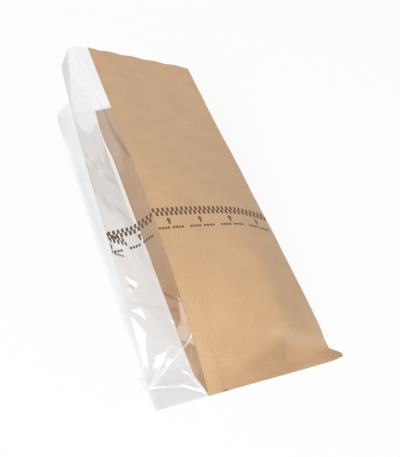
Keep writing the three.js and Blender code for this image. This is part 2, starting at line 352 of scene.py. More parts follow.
def front_panel(s, u):
    """Front of the paper, u from 0 at the seam to 1 at the right fold."""
    cut = CUT_DEPTH * (1 - np.abs(np.cos(np.pi * u * PANEL_WIDTH / CUT_PITCH))) / LEFT_LENGTH
    s = s - cut * s ** CUT_POWER
    left = seam_rail(s)
    y = left[..., 1]
    belly = BELLY * np.exp(-(y / BELLY_REACH) ** 2) * fading(y, BELLY_FALL)
    belly = belly * smooth(y, 0.0, stepped(u, BELLY_RISE_STEP))
    panel = bowed(left, right_fold_rail(s), u, belly * crown_share(u, y))
    lift = lerp(1 - PRESSED_SHARE, 1.0, smooth(y, 0.0, pressed_length(u)))
    lip = LIP * np.exp(-(y / LIP_REACH) ** 2) * hump(u, LIP_ZONE)
    wave = WAVE * ripple(u * PANEL_WIDTH, y / WAVE_STRETCH, WAVE_SIZE, WAVE_SEED)
    wave = wave * smooth(u, *WAVE_RISE) * smooth(1 - u, *WAVE_RISE)
    panel[..., 2] = FRONT_LEVEL + (panel[..., 2] - FRONT_LEVEL + wave) * lift + lip
    return panel


def paper_grid(rows):
    """The paper from the seam over the front, right gusset and back to the back seam."""
    front_u, half_u = shares(PAPER_FRONT_STEPS), shares(PAPER_GUSSET_STEPS)
    back_u = graded(PAPER_BACK_COLUMNS)
    s, u = grid_parameters(rows, front_u)
    front = front_panel(s, u)
    s, u = grid_parameters(rows, half_u)
    fold = np.broadcast_to(front[:, -1:], s.shape + (3,))
    corner = back_right_rail(s)
    crease = gusset_crease(raised(fold, -LAYER), raised(corner, LAYER), GUSSET_DEPTH, 1)
    upper = between(fold, crease, u)
    lower = between(crease, corner, u)
    s, u = grid_parameters(rows, back_u)
    back = between(back_right_rail(s), back_seam_rail(s), u)
    across = np.concatenate([
        front_u * PANEL_WIDTH,
        PANEL_WIDTH + half_u[1:] * GUSSET_DEPTH,
        PANEL_WIDTH + GUSSET_DEPTH + half_u[1:] * GUSSET_DEPTH,
        PANEL_WIDTH + 2 * GUSSET_DEPTH + back_u[1:] * PANEL_WIDTH,
    ])
    return across, np.concatenate([front, upper[:, 1:], lower[:, 1:], back[:, 1:]], axis=1)


# Tones of the paper, most of them painted light and shade. Places are across from the front seam and along
# from the bottom.
# Marks on the front: painted shade of a dimple and of a crease, then a nick and a dot. Creases in the back,
# darker by painted shade. Each is path, width, darkness.
PAPER_MARKS = [
    ([(55.6, 15.3), (55.1, 11.2), (54.2, 7.5)], 1.3, 0.12),
    ([(9.3, 30.0), (9.5, 21.9), (10.0, 10.9), (9.5, 1.2)], 0.7, 0.12),
    ([(9.4, -1.3), (11.4, -1.3)], 0.6, 0.9),
    ([(12.6, 9.1), (12.6, 9.4)], 0.5, 0.3),
]
BACK_CREASE_SHADES = [
    ([(233.3, 87.1), (230.1, 81.3), (224.3, 75.8)], 1.1, 0.85),
    ([(233.3, 70.7), (227.4, 68.7)], 1.1, 0.55),
]
PRESSED_SHADE = 0.13
PRESSED_SHADE_FALL = (0.6, 1.4)
PRESSED_SHADE_PART = (0.15, 0.45)
EAR_SHADE = 0.18
EAR_SHADE_PART = (70, 84)
EAR_SHADE_FALL = (3, 12)
FOOT_SHADE_STEP = (0.15, 0.05, 0.55, 0.8)
FOOT_START = 4.0
FOOT_END_STEP = (36, 54, 20, 36)
FOOT_SEAM_STEP = (0.25, 1, 0, 14)
# Painted sheen on the front: how pale it is painted on the ridge above the foot and by the ear.
PAINTED_SHEEN = 0.12
SHEEN_RIDGE_STEP = (21, 14, 45, 82)
SHEEN_RIDGE_WIDTH = 5.0
SHEEN_RIDGE_PART = (38, 55)
SHEEN_EDGE_SHARE = 0.85
SHEEN_EDGE_PART = (72, 82)
SHEEN_EDGE_ZONE = (8, 14, 30, 46)
# Painted light on the back paper by its seam, near the bottom fold.
PAPER_PAINTED_LIGHT = 0.4
PAPER_PAINTED_LIGHT_PART = (190, 210)
PAPER_PAINTED_LIGHT_ZONE = (12, 22, 30, 52)


def paper_crease_shade(across, along):
    """Painted shade in the creases of the back: how brown they are."""
    return marked(across, along, BACK_CREASE_SHADES)


def paper_shade_and_marks(across, along):
    """Painted shade: how much darker the front is along the bottom fold, where it is pressed and at the ear,
    plus the marks.
    """
    u = across / PANEL_WIDTH
    pressed = fading(along / pressed_length(u), PRESSED_SHADE_FALL) * smooth(u, *PRESSED_SHADE_PART)
    ear = smooth(across, *EAR_SHADE_PART) * fading(along, EAR_SHADE_FALL)
    foot = stepped(u, FOOT_SHADE_STEP) * stepped(across, FOOT_SEAM_STEP)
    foot = foot * fading(along, (FOOT_START, stepped(across, FOOT_END_STEP)))
    shade = PRESSED_SHADE * pressed + EAR_SHADE * ear + foot
    return (across <= PANEL_WIDTH) * shade + marked(across, along, PAPER_MARKS)


def paper_painted_sheen(across, along):
    """Painted sheen: how much paler the front is painted on the ridge above the pressed foot, and on the
    fold by the ear.
    """
    off_ridge = along - stepped(across, SHEEN_RIDGE_STEP)
    ridge = np.exp(-(off_ridge / SHEEN_RIDGE_WIDTH) ** 2) * smooth(across, *SHEEN_RIDGE_PART)
    edge = smooth(across, *SHEEN_EDGE_PART) * hump(along, SHEEN_EDGE_ZONE)
    return (across <= PANEL_WIDTH) * PAINTED_SHEEN * np.maximum(ridge, SHEEN_EDGE_SHARE * edge)


def paper_painted_light(across, along):
    """Painted light: how much lighter and redder the back is painted by its seam, near the bottom fold."""
    return PAPER_PAINTED_LIGHT * smooth(across, *PAPER_PAINTED_LIGHT_PART) * hump(along, PAPER_PAINTED_LIGHT_ZONE)


# Form of the front film: it sags low down, puffs out at the foot and has two ridges by the mouth.
# Its lower left corner is pressed flat below a slanted crease.
SAG_DEPTH = 5.8
SAG_ZONE = (15, 110, 125, 205)
SAG_PLACE = 0.53
SAG_ROUNDING = 0.25
PUFF = 12.0
PUFF_ZONE = (2, 14, 18, 45)
OUTER_START = 238.0
OUTER_PLACE = 0.5
OUTER_HEIGHT = 9.6
OUTER_ROUNDING = 0.8
OUTER_FLARE = 0.155
INNER_START = 185.0
INNER_FROM_SEAM = 0.3
INNER_HEIGHT = 8.8
INNER_POWER = 1.6
INNER_ROUNDING = 0.5
RIDGES_RISE = (185, 200)
LEAST_SHARE = 1e-3
CORNER_LEAN = 8.0
CORNER_REACH = 26.3
CORNER_SLOPE = 0.7
CORNER_BEND = 1.5
CORNER_ROUNDINGS = (1.25, 0.05)


def mouth_ridges(y, u):
    """Two ridges that grow towards the mouth, the outer from the left fold and the inner from the seam."""
    outer = clamp((y - OUTER_START) / (LEFT_LENGTH - OUTER_START))
    inner = clamp((y - INNER_START) / (LEFT_LENGTH - INNER_START))
    outer_u, outer_height = OUTER_PLACE * outer, OUTER_HEIGHT * outer
    inner_u, inner_height = 1 - INNER_FROM_SEAM * inner, INNER_HEIGHT * inner ** INNER_POWER
    from_fold = OUTER_HEIGHT / OUTER_PLACE * u + OUTER_FLARE * np.maximum(0.0, OUTER_START - y)
    top = outer_height + (inner_height - outer_height) * (u - outer_u) / (inner_u - outer_u)
    to_seam = inner_height * (1 - u) / np.maximum(1 - inner_u, LEAST_SHARE)
    ridges = soft_min(soft_min(from_fold, top, OUTER_ROUNDING), to_seam, INNER_ROUNDING)
    return ridges * smooth(y, *RIDGES_RISE)


def strip_bow(y, u):
    """How far the front film stands off the chord of its section."""
    sag = -SAG_DEPTH * hump(y, SAG_ZONE)
    sag = sag * soft_min(u / SAG_PLACE, (1 - u) / (1 - SAG_PLACE), SAG_ROUNDING)
    puff = PUFF * u * (1 - u) * hump(y, PUFF_ZONE)
    return sag + puff + mouth_ridges(y, u)


def film_front(s, u, crumple):
    """Front film strip, u from 0 at the left fold to 1 at the seam."""
    y = LEFT_LENGTH * s
    strip = bowed(left_fold_rail(s), raised(seam_rail(s), -SEAM_DROP), u, strip_bow(y, u) + crumple)
    past_crease = y - np.minimum(LEFT_FOLD_START - CORNER_LEAN * u, CORNER_REACH * (1 - u))
    climb = CORNER_SLOPE * (past_crease + np.hypot(past_crease, CORNER_BEND))
    height = soft_min(strip[..., 2] - FILM_LEVEL, climb, lerp(*CORNER_ROUNDINGS, u))
    strip[..., 2] = FILM_LEVEL + np.maximum(0.0, height)
    return strip


# Folds in the film. Places on the front film are from the left fold and from the bottom.
# Sharp creases: path, height, width, and whiteness, which is a painted highlight.
FAN_CORNER = (0.5, 14.5)
CREASES = [
    ([FAN_CORNER, (5.6, 18.0), (12.9, 23.0), (16.0, 27.5), (24.1, 31.5)], 0.35, 0.7, 0.24),
    ([FAN_CORNER, (7.1, 16.8), (13.6, 19.2), (21.6, 23.2), (25.6, 26.5), (33.2, 32.5)], 0.4, 0.65, 0.32),
    ([(7.6, 25.5), (16.0, 27.2)], 0.3, 0.7, 0.2),
    ([FAN_CORNER, (12.5, 11.6), (21.6, 9.2), (26.6, 4.6), (33.2, 0.0)], 0.0, 0.6, 0.15),
    ([(20.1, 299.0), (26.6, 226.0), (26.9, 197.0), (31.7, 174.0)], 0.3, 0.5, 0.0),
    ([(31.2, 24.8), (27.1, 18.0)], 0.0, 0.5, 0.06),
    ([(32.5, 17.8), (29.1, 13.5)], 0.0, 0.45, 0.06),
    ([(33.2, 16.5), (30.7, 13.0)], 0.0, 0.4, 0.06),
]
# Facets of the fan: place and height of each vertex, and the folds between vertices.
FAN_VERTICES = [
    (1.5, 19.5, 0.6), (3.3, 27.5, 1.4), (4.3, 33.8, 1.9), (6.8, 39.0, 2.7), (3.3, 47.5, 1.3),
    (7.5, 24.0, -0.1), (9.0, 31.0, -0.2), (12.5, 38.0, -0.3), (9.5, 46.0, 0.0),
    (21.6, 9.2, 0.0), (17.0, 15.0, 0.0), (27.0, 14.0, 0.0), (28.0, 24.0, -0.4), (20.0, 28.5, -0.4),
    (26.1, 32.0, -3.4), (25.1, 37.5, -3.0), (29.5, 41.5, -1.4), (29.9, 47.0, -0.8),
    (20.0, 38.0, -0.6), (22.0, 45.0, -0.4),
]
FAN_FOLDS = [(0, 1), (1, 2), (2, 3), (3, 4), (14, 15), (15, 16), (16, 17)]
# Small facets that catch the light: their places, and their corners about the place.
GLINT_PLACES = [(9.6, 70.2), (4.6, 68.0), (7.1, 53.0)]
GLINT_CORNERS = [(-1.2, -1.5, 0.0), (1.2, -0.5, 1.4), (0.0, 1.8, 1.9)]
# Loose facets: rows and columns, each as (count, first place, pitch, jitter), then height and its moves.
STRIP_FACETS = ((20, 60.0, 12.0, 4.5), (4, 4.5, 8.0, 3.0), 0.85, [(-0.6, 80.0, 130.0)])
GUSSET_FACETS = ((22, 20.0, 13.0, 5.0), (3, 6.0, 9.0, 3.5), 1.35,
                 [(-0.6, 90.0, 140.0), (-0.45, 195.0, 210.0), (0.65, 235.0, 250.0)])
STRIP_SEED = 7
UPPER_GUSSET_SEED = 11
LOWER_GUSSET_SEED = 12
LEVEL_PLACES = np.arange(-5.0, 315.0, 10.0)
EASING_PASSES = 2
MERGE_DISTANCE = 1e-4
FACET_TOLERANCE = 1e-6


def faceted(a, y, vertices, edges):
    """Height of the flat facets spanned by vertices (a, y, height), with folds along the given edges."""
    flat = [Vector((v[0], v[1])) for v in vertices]
    _, _, faces, origins, _, _ = delaunay_2d_cdt(flat, edges, [], 0, MERGE_DISTANCE)
    height = np.zeros_like(a)
    for face in faces:
        (ax, ay, ah), (bx, by, bh), (cx, cy, ch) = (vertices[origins[i][0]] for i in face)
        area = (bx - ax) * (cy - ay) - (cx - ax) * (by - ay)
        wb = ((a - ax) * (cy - ay) - (cx - ax) * (y - ay)) / area
        wc = ((bx - ax) * (y - ay) - (a - ax) * (by - ay)) / area
        inside = (wb >= -FACET_TOLERANCE) & (wc >= -FACET_TOLERANCE) & (wb + wc <= 1 + FACET_TOLERANCE)
        height = np.where(inside, ah + (bh - ah) * wb + (ch - ah) * wc, height)
    return height


def eased(field):
    """A field on a grid with its sharp folds eased."""
    for _ in range(EASING_PASSES):
        padded = np.pad(field, 1, mode="edge")
        field = (padded[:-2, 1:-1] + padded[2:, 1:-1] + padded[1:-1, :-2] + padded[1:-1, 2:]
                 + 4 * field) / 8
    return field


def jittered(draw, spacing, k):
    _, first, pitch, jitter = spacing
    return first + k * pitch + draw.uniform(-jitter, jitter)


def loose_facets(seed, rows, columns, height, moves):
    """Vertices of loose facets, with heights drawn up to one that has its moves along the bag."""
    draw = random.Random(seed)
    vertices = []
    for row in range(rows[0]):
        for column in range(columns[0]):
            place = jittered(draw, rows, row)
            across = jittered(draw, columns, column)
            vertices.append((across, place, draw.uniform(-1.0, 1.0) * shifted(height, place, moves)))
    return vertices


def level_edges(width):
    """Vertices along both edges of a strip, where its facets end."""
    return [(a, place, 0.0) for place in LEVEL_PLACES for a in (0.0, width)]


def strip_crumple(a, y):
    """Folds in the front film: a fan from the lower left corner, then looser facets that fade upwards."""
    facets = list(FAN_VERTICES)
    for across, place in GLINT_PLACES:
        facets += [(across + da, place + dy, height) for da, dy, height in GLINT_CORNERS]
    facets += loose_facets(STRIP_SEED, *STRIP_FACETS) + level_edges(STRIP_WIDTH)
    height = eased(faceted(a, y, facets, FAN_FOLDS))
    for path, rise, width, _ in CREASES:
        height += rise * near_path(a, y, path, width)
    return height


def gusset_crumple(a, y, seed):
    """Loose facets in one half of the film gusset."""
    facets = loose_facets(seed, *GUSSET_FACETS) + level_edges(FILM_GUSSET_DEPTH)
    return eased(faceted(a, y, facets, []))


# Looks of the film: how clear, how white and how warm it is, much of it painted light, shade and reflection.
# Faint folds in the front film, darker by painted shade: path, width, darkness. The long fold is faint by
# the mouth.
FAINT_FOLDS = [
    ([(11.6, 102.0), (12.9, 89.8), (15.1, 79.5), (18.3, 70.8), (21.7, 63.2)], 0.9, 0.013),
    ([(0.5, 73.5), (2.7, 70.2), (7.8, 70.0), (13.3, 67.5)], 0.8, 0.018),
    ([(0.5, 63.5), (4.5, 57.8), (10.0, 56.0), (18.3, 54.0), (23.1, 49.5)], 0.8, 0.016),
]
LONG_FOLD = [(20.4, 288.5), (24.1, 257.0), (26.6, 222.0), (27.2, 206.8), (28.3, 194.0), (31.6, 170.0)]
LONG_FOLD_WIDTH_STEP = (1.2, 0.6, 185, 215)
LONG_FOLD_SHARE_STEP = (1, 0.2, 220, 226)
LONG_FOLD_DIMMING = 0.09
# A thin veil of painted reflection by the seam near the mouth, and a plain haze beside the seam.
VEIL_ZONE = (157, 164, 221, 229)
VEIL_LEFT_RISE = (19.5, 21.5)
VEIL_EDGE_PLACES = (165, 194)
VEIL_EDGES = (26.0, 28.3)
VEIL_SOFTNESS = 0.6
VEIL_WIDENING = 10.0
VEIL_WIDENING_RISE = (192, 197)
VEIL_DIMMING = 0.031
VEIL_REFLECTION_STEP = (0.06, 0.043, 165, 205)
SEAM_HAZE_STEP = (0.025, 0.0175, 165, 180)
SEAM_HAZE_PART = (20, 24)
SEAM_HAZE_RISE = (62, 95)
# Warmth of the front film, a painted reflection of the paper.
WARMTH_END_STEP = (205, 150, 17, 20)
WARMTH_BEFORE_END = 30.0
WARMTH_PAST_END = 20.0
WARMTH_RISE = (8, 30)
# Painted shade: the dim part of the upper gusset half, below a jagged line.
DIM_START_STEP = (180, 198, 12, FILM_GUSSET_DEPTH)
DIM_START_LENGTH = 16.0
DIM_TOP_STEP = (221, 247, 17, FILM_GUSSET_DEPTH)
DIM_TOP_LENGTH = 6.0
JAG_HEIGHT = 4.0
JAG_WIDTH = 11.0
# Clarity: the share of light that one face of the film passes, on the strip, the gusset and the back. Most
# of its changes from place to place are painted light and shade.
STRIP_CLARITY = 0.983
STRIP_CLARITY_MOVES = [(-0.011, 40, 150), (0.005, 60, 110)]
STRIP_GAIN = 0.01
STRIP_GAIN_FALL = (10, 15)
STRIP_GAIN_ZONE = (20, 60, 120, 160)
BRIM_DIMMING = 0.009
BRIM_WIDTH = 16.0
BRIM_START = 245.0
BRIM_EDGE_RISE = (-1, 2)
BRIM_RISE = (245, 252)
GUSSET_CLARITY = 0.9945
GUSSET_CLARITY_MOVES = [(-0.001, 90, 160), (0.005, 60, 110)]
GUSSET_CORNER_DIMMING = 0.022
GUSSET_CORNER_RISE = (262, 280)
GUSSET_CORNER_PART = (40, 50)
GUSSET_PART_DIMMING = 0.0145
BACK_CLARITY = 0.956
BACK_CLARITY_MOVES = [(0.02, 272, 290), (0.012, 60, 110)]
BACK_EDGE_DIMMING = 0.02
BACK_EDGE_FALL = (2, 8)
BACK_EDGE_ZONE = (110, 150, 215, 245)
BACK_LAP_CLARITY = 0.99
BACK_LAP_RISE = (28, 31)
BACK_FOLD_WIDTH = 0.5
BACK_FOLD_STEP = (0.5, 1, 60, 110)


def long_fold(a, y):
    """The clear line of a fold in the front film, darker by painted shade, that runs from the mouth down to
    the seam.
    """
    line = near_path(a, y, LONG_FOLD, stepped(y, LONG_FOLD_WIDTH_STEP))
    return line * stepped(y, LONG_FOLD_SHARE_STEP)


def film_painted_veil(a, y):
    """A painted reflection: a thin veil on the front film near the mouth, on both sides of the fold and left
    of it lower down.
    """
    edge = np.interp(y, VEIL_EDGE_PLACES, VEIL_EDGES) + VEIL_WIDENING * smooth(y, *VEIL_WIDENING_RISE)
    veil = smooth(a, *VEIL_LEFT_RISE) * fading(a, (edge - VEIL_SOFTNESS, edge + VEIL_SOFTNESS))
    return veil * hump(y, VEIL_ZONE) * (1 - long_fold(a, y))


def gusset_painted_dim(b, y):
    """Where the upper half of the gusset is dimmed by painted shade: up to a jagged line across it, b from
    the left fold.
    """
    jag = JAG_HEIGHT * np.abs((b / JAG_WIDTH) % 2.0 - 1.0)
    top = stepped(b, DIM_TOP_STEP) + jag
    start = stepped(b, DIM_START_STEP)
    dim = hump(y, (start, start + DIM_START_LENGTH, top, top + DIM_TOP_LENGTH))
    return dim * (b <= FILM_GUSSET_DEPTH)


def film_painted_warmth(across, y):
    """Painted reflection: how much of the paper's colour the film picks up from inside the bag."""
    end = stepped(STRIP_WIDTH - across, WARMTH_END_STEP)
    share = hump(y, (*WARMTH_RISE, end - WARMTH_BEFORE_END, end + WARMTH_PAST_END))
    return np.where(across <= STRIP_WIDTH, share, gusset_painted_dim(across - STRIP_WIDTH, y))


def strip_clarity(a, y):
    """Clarity of the front strip, with painted light and shade: less upwards and in the steep brim at the
    mouth, more at the left.
    """
    clarity = shifted(STRIP_CLARITY, y, STRIP_CLARITY_MOVES)
    clarity = clarity + STRIP_GAIN * fading(a, STRIP_GAIN_FALL) * hump(y, STRIP_GAIN_ZONE)
    clarity = clarity - VEIL_DIMMING * film_painted_veil(a, y) - LONG_FOLD_DIMMING * long_fold(a, y)
    brim_edge = BRIM_WIDTH * (y - BRIM_START) / (LEFT_LENGTH - BRIM_START)
    brim = smooth(brim_edge - a, *BRIM_EDGE_RISE) * smooth(y, *BRIM_RISE)
    return clarity - marked(a, y, FAINT_FOLDS) - BRIM_DIMMING * brim


def gusset_clarity(b, y):
    """Clarity of the gusset, b from the left fold, with painted shade: less in its dim part and in the
    corner by the mouth.
    """
    corner = smooth(y, *GUSSET_CORNER_RISE) * smooth(b, *GUSSET_CORNER_PART)
    clarity = shifted(GUSSET_CLARITY, y, GUSSET_CLARITY_MOVES)
    return clarity - GUSSET_CORNER_DIMMING * corner - GUSSET_PART_DIMMING * gusset_painted_dim(b, y)


def back_clarity(c, y):
    """Clarity of the back strip, c from its fold: more by the mouth and in the lap, and less beside the fold
    by painted shade.
    """
    clarity = shifted(BACK_CLARITY, y, BACK_CLARITY_MOVES)
    edge = fading(c, BACK_EDGE_FALL) * hump(y, BACK_EDGE_ZONE)
    return lerp(clarity - BACK_EDGE_DIMMING * edge, BACK_LAP_CLARITY, smooth(c, *BACK_LAP_RISE))


def film_clarity_and_painted_light(across, y):
    """Share of light that one face of the film passes, with painted light and shade from place to place. The
    fold between gusset and back is clear.
    """
    past_strip = across - STRIP_WIDTH
    past_gusset = past_strip - 2 * FILM_GUSSET_DEPTH
    behind = np.where(past_gusset <= 0, gusset_clarity(past_strip, y), back_clarity(past_gusset, y))
    fold = stepped(y, BACK_FOLD_STEP) * np.exp(-(past_gusset / BACK_FOLD_WIDTH) ** 2)
    return np.where(past_strip <= 0, strip_clarity(-past_strip, y), lerp(behind, 1.0, fold))


def film_haze_and_painted_highlights(across, y):
    """Whitening of the front film: painted highlights along its sharp creases, the painted reflection of the
    veil, and the haze beside the seam.
    """
    a = STRIP_WIDTH - across
    haze = np.zeros(np.broadcast(a, y).shape)
    for path, _, width, whiteness in CREASES:
        haze = np.maximum(haze, whiteness * near_path(a, y, path, width))
    haze = np.maximum(haze, stepped(y, VEIL_REFLECTION_STEP) * film_painted_veil(a, y))
    haze = haze + stepped(y, SEAM_HAZE_STEP) * smooth(a, *SEAM_HAZE_PART) * smooth(y, *SEAM_HAZE_RISE)
    return np.where((across >= 0) & (across <= STRIP_WIDTH), haze, 0.0)


# Film gusset and back, and the flap.
GUSSET_OPENING_RISE = (15, 50)
LOWER_CRUMPLE = 0.6
CURL_DEPTH = 5.0
CURL_RISE = (0.75, 1.0)
# Curl of the ear: axis, distance, span across and span along.
EAR_CURL = [
    (2, 0.4, (46, 61), (0, 13)),
    (1, 0.6, (54, 61), (0, 10)),
    (0, -0.7, (57, EAR_TIP), (0, 6)),
]


def film_gusset(rows, half_u):
    """Upper and lower half of the film gusset, from the left fold to the inner crease and on to the back."""
    s, u = grid_parameters(rows, half_u)
    y = s * LEFT_LENGTH
    opened = smooth(y, *GUSSET_OPENING_RISE)
    fold = left_fold_rail(s)
    corner = raised(back_left_rail(s), SEAM_DROP)
    crease = gusset_crease(raised(fold, -LAYER), raised(corner, LAYER), FILM_GUSSET_DEPTH, -1)
    upper = bowed(fold, crease, u, gusset_crumple(u * FILM_GUSSET_DEPTH, y, UPPER_GUSSET_SEED) * opened)
    crumple = gusset_crumple(u * FILM_GUSSET_DEPTH, y, LOWER_GUSSET_SEED) * opened * LOWER_CRUMPLE
    curl = CURL_DEPTH * smooth(s, *CURL_RISE) * 4 * u * u * (1 - u)
    return upper, bowed(crease, corner, u, crumple - curl)


def film_grid(rows):
    """The film from its lap under the front over strip, left gusset and back to its lap on the back."""
    lap_u = np.linspace(SEAM_LAP / PANEL_WIDTH, 0.0, FILM_LAP_STEPS + 1)[:-1]
    strip_u = np.linspace(1.0, 0.0, FILM_STRIP_STEPS + 1)
    half_u, back_u = shares(FILM_GUSSET_STEPS), shares(FILM_BACK_STEPS)
    s, u = grid_parameters(rows, lap_u)
    lap = raised(front_panel(s, u), -SEAM_DROP)
    s, u = grid_parameters(rows, strip_u)
    strip = film_front(s, u, strip_crumple(u * STRIP_WIDTH, s * LEFT_LENGTH))
    upper, lower = film_gusset(rows, half_u)
    s, u = grid_parameters(rows, back_u)
    end = raised(back_seam_rail(s), SEAM_DROP) + points(SEAM_LAP, 0.0, 0.0)
    back = between(raised(back_left_rail(s), SEAM_DROP), end, u)
    across = np.concatenate([
        -lap_u * PANEL_WIDTH,
        (1 - strip_u) * STRIP_WIDTH,
        STRIP_WIDTH + half_u[1:] * FILM_GUSSET_DEPTH,
        STRIP_WIDTH + FILM_GUSSET_DEPTH + half_u[1:] * FILM_GUSSET_DEPTH,
        STRIP_WIDTH + 2 * FILM_GUSSET_DEPTH + back_u[1:] * (STRIP_WIDTH + SEAM_LAP),
    ])
    return across, np.concatenate([lap, strip, upper[:, 1:], lower[:, 1:], back[:, 1:]], axis=1)


def flap_grid(front_row, taper):
    """Rows from the flap's free end under the back, round the bottom fold, to a front panel's lower edge.

    taper is how much narrower the flap gets towards its free end, taken off its right side.
    """
    radius = (front_row[:, 2] - FLAP_LEVEL) / 2
    share = (front_row[:, 0] - front_row[0, 0]) / (front_row[-1, 0] - front_row[0, 0])
    rows = []
    for y in np.linspace(FLAP_LENGTH, 0.0, FLAP_STEPS + 1):
        skew = FLAP_SKEW * y / FLAP_LENGTH
        narrowing = taper * clamp(y / EAR_LENGTH)
        rows.append(points(front_row[:, 0] - skew - narrowing * share, y, FLAP_LEVEL))
    for angle in np.radians(np.linspace(-FOLD_ANGLE, FOLD_ANGLE, FOLD_STEPS + 1)):
        rows.append(points(front_row[:, 0], -radius * np.cos(angle),
                           FLAP_LEVEL + radius + radius * np.sin(angle)))
    return np.stack(rows + [front_row])


def curled_ear(grid):
    """The lower right corner of the paper, lifted and rounded."""
    x, y = grid[..., 0], grid[..., 1]
    curled = grid.copy()
    for axis, distance, across, along in EAR_CURL:
        curled[..., axis] += distance * smooth(x, *across) * fading(y, along)
    return curled


# Meshes

def grid_faces(rows, columns, start):
    corners = [start + i * columns + j for i in range(rows - 1) for j in range(columns - 1)]
    return [(a, a + 1, a + columns + 1, a + columns) for a in corners]


def new_mesh(name, vertices, faces, material):
    mesh = bpy.data.meshes.new(name)
    mesh.from_pydata(vertices, [], faces)
    mesh.materials.append(material)
    return mesh


def new_object(name, data):
    thing = bpy.data.objects.new(name, data)
    bpy.context.scene.collection.objects.link(thing)
    return thing


def thickened(piece, thickness):
    """Welds a sheet's grids together and gives it its thickness."""
    piece.modifiers.new("weld", "WELD").merge_threshold = WELD_DISTANCE
    solid = piece.modifiers.new("thickness", "SOLIDIFY")
    solid.thickness = thickness * MM
    solid.offset = 0.0
    shaped = piece.evaluated_get(bpy.context.evaluated_depsgraph_get())
    piece.data = bpy.data.meshes.new_from_object(shaped)
    piece.modifiers.clear()
    piece.data.set_sharp_from_angle(angle=math.radians(SHARP_ANGLE))


def sheet_object(name, grids, thickness, material, fields):
    """One mesh from several grids, each (points, across, along), welded where they share an edge.

    fields are named functions of (across, along) that are stored on the mesh for the material.
    """
    vertices, faces, uv = [], [], []
    for grid, across, along in grids:
        faces += grid_faces(grid.shape[0], grid.shape[1], len(vertices))
        vertices += [tuple(p) for p in to_row(grid).reshape(-1, 3)]
        uv += [(a * MM, b * MM) for b in along for a in across]
    mesh = new_mesh(name, vertices, faces, material)
    layer = mesh.uv_layers.new(name="sheet")
    for loop in mesh.loops:
        layer.data[loop.index].uv = uv[loop.vertex_index]
    across, along = np.array(uv).T / MM
    for field in fields:
        values = mesh.attributes.new(field.__name__, "FLOAT", "POINT").data
        values.foreach_set("value", field(across, along))
    mesh.shade_smooth()
    piece = new_object(name, mesh)
    thickened(piece, thickness)
    return piece


# Materials

def srgb(r, g, b):
    def channel(value):
        v = value / 255.0
        return v / 12.92 if v <= 0.04045 else ((v + 0.055) / 1.055) ** 2.4
    return (channel(r), channel(g), channel(b), 1.0)


def grey(level):
    return (level, level, level, 1.0)


class Graph:
    """The node tree of a material or a world, with short calls to add and link nodes."""

    def __init__(self, owner):
        owner.use_nodes = True
        self.owner = owner
        self.tree = owner.node_tree
        self.tree.nodes.clear()

    def add(self, kind, inputs=(), **settings):
        """A node with its settings, and with inputs as pairs of (name, source)."""
        node = self.tree.nodes.new("ShaderNode" + kind)
        for key, value in settings.items():
            setattr(node, key, value)
        for name, source in inputs:
            self.feed(source, node.inputs[name])
        return node

    def feed(self, source, socket):
        """Gives an input its source: the output of a node, a number or a colour."""
        if isinstance(source, bpy.types.NodeSocket):
            self.tree.links.new(source, socket)
        else:
            socket.default_value = source

    def math(self, operation, *sources):
        node = self.add("Math", operation=operation)
        for source, socket in zip(sources, node.inputs):
            self.feed(source, socket)
        return node.outputs[0]

    def noise(self, vector, scale, detail):
        inputs = [("Vector", vector), ("Scale", scale), ("Detail", detail)]
        return self.add("TexNoise", inputs).outputs["Fac"]

    def mapped(self, vector, scale):
        return self.add("Mapping", [("Vector", vector), ("Scale", scale)]).outputs["Vector"]

    def field(self, name):
        """A value that is stored on the mesh."""
        return self.add("Attribute", attribute_name=name).outputs["Fac"]

    def ramp(self, factor, stops):
        """A colour between two stops of (position, colour)."""
        node = self.add("ValToRGB", [("Fac", factor)])
        for element, (position, colour) in zip(node.color_ramp.elements, stops):
            element.position = position
            element.color = colour
        return node.outputs["Color"]

    def tinted(self, base, colour, factor, blend):
        """A base colour that is mixed with another by a factor."""
        inputs = [("A", base), ("B", colour), ("Factor", factor)]
        return self.add("Mix", inputs, data_type="RGBA", blend_type=blend).outputs["Result"]

    def blended(self, factor, first, second):
        """Two shaders mixed by a factor."""
        node = self.add("MixShader")
        for source, socket in zip((factor, first, second), node.inputs):
            self.feed(source, socket)
        return node.outputs["Shader"]

    def seen(self):
        """1 where it is seen, directly, in a reflection or through film, and 0 where it only gives light."""
        path = self.add("LightPath").outputs
        seen = self.math("MAXIMUM", path["Is Camera Ray"], path["Is Glossy Ray"])
        return self.math("MAXIMUM", seen, path["Is Transmission Ray"])

    def finish(self, shader, output="OutputMaterial"):
        self.add(output, [("Surface", shader)])
        return self.owner


# Kraft paper. Noise is a scale in waves per metre of the sheet, and a detail.
RIB_PITCH = 2.36
RIB_TONE = 0.055
RIB_WANDER = 2.0
RIB_WANDER_SCALE = (300.0, 12.0, 1.0)
RIB_WANDER_DETAIL = 2.0
CLOUD_NOISE = (60.0, 4.0)
CLOUD_TONE = 0.45
BASE_TONE = 0.225
FIBRE_SCALE = (2200.0, 240.0, 1.0)
FIBRE_DETAIL = 3.0
FIBRE_TONE = 0.5
FIBRE_RELIEF = 2.0
GRAIN_NOISE = (1100.0, 2.0)
GRAIN_TONE = 0.55
KRAFT_STOPS = [(0.1, srgb(190, 152, 113)), (0.8, srgb(218, 180, 138))]
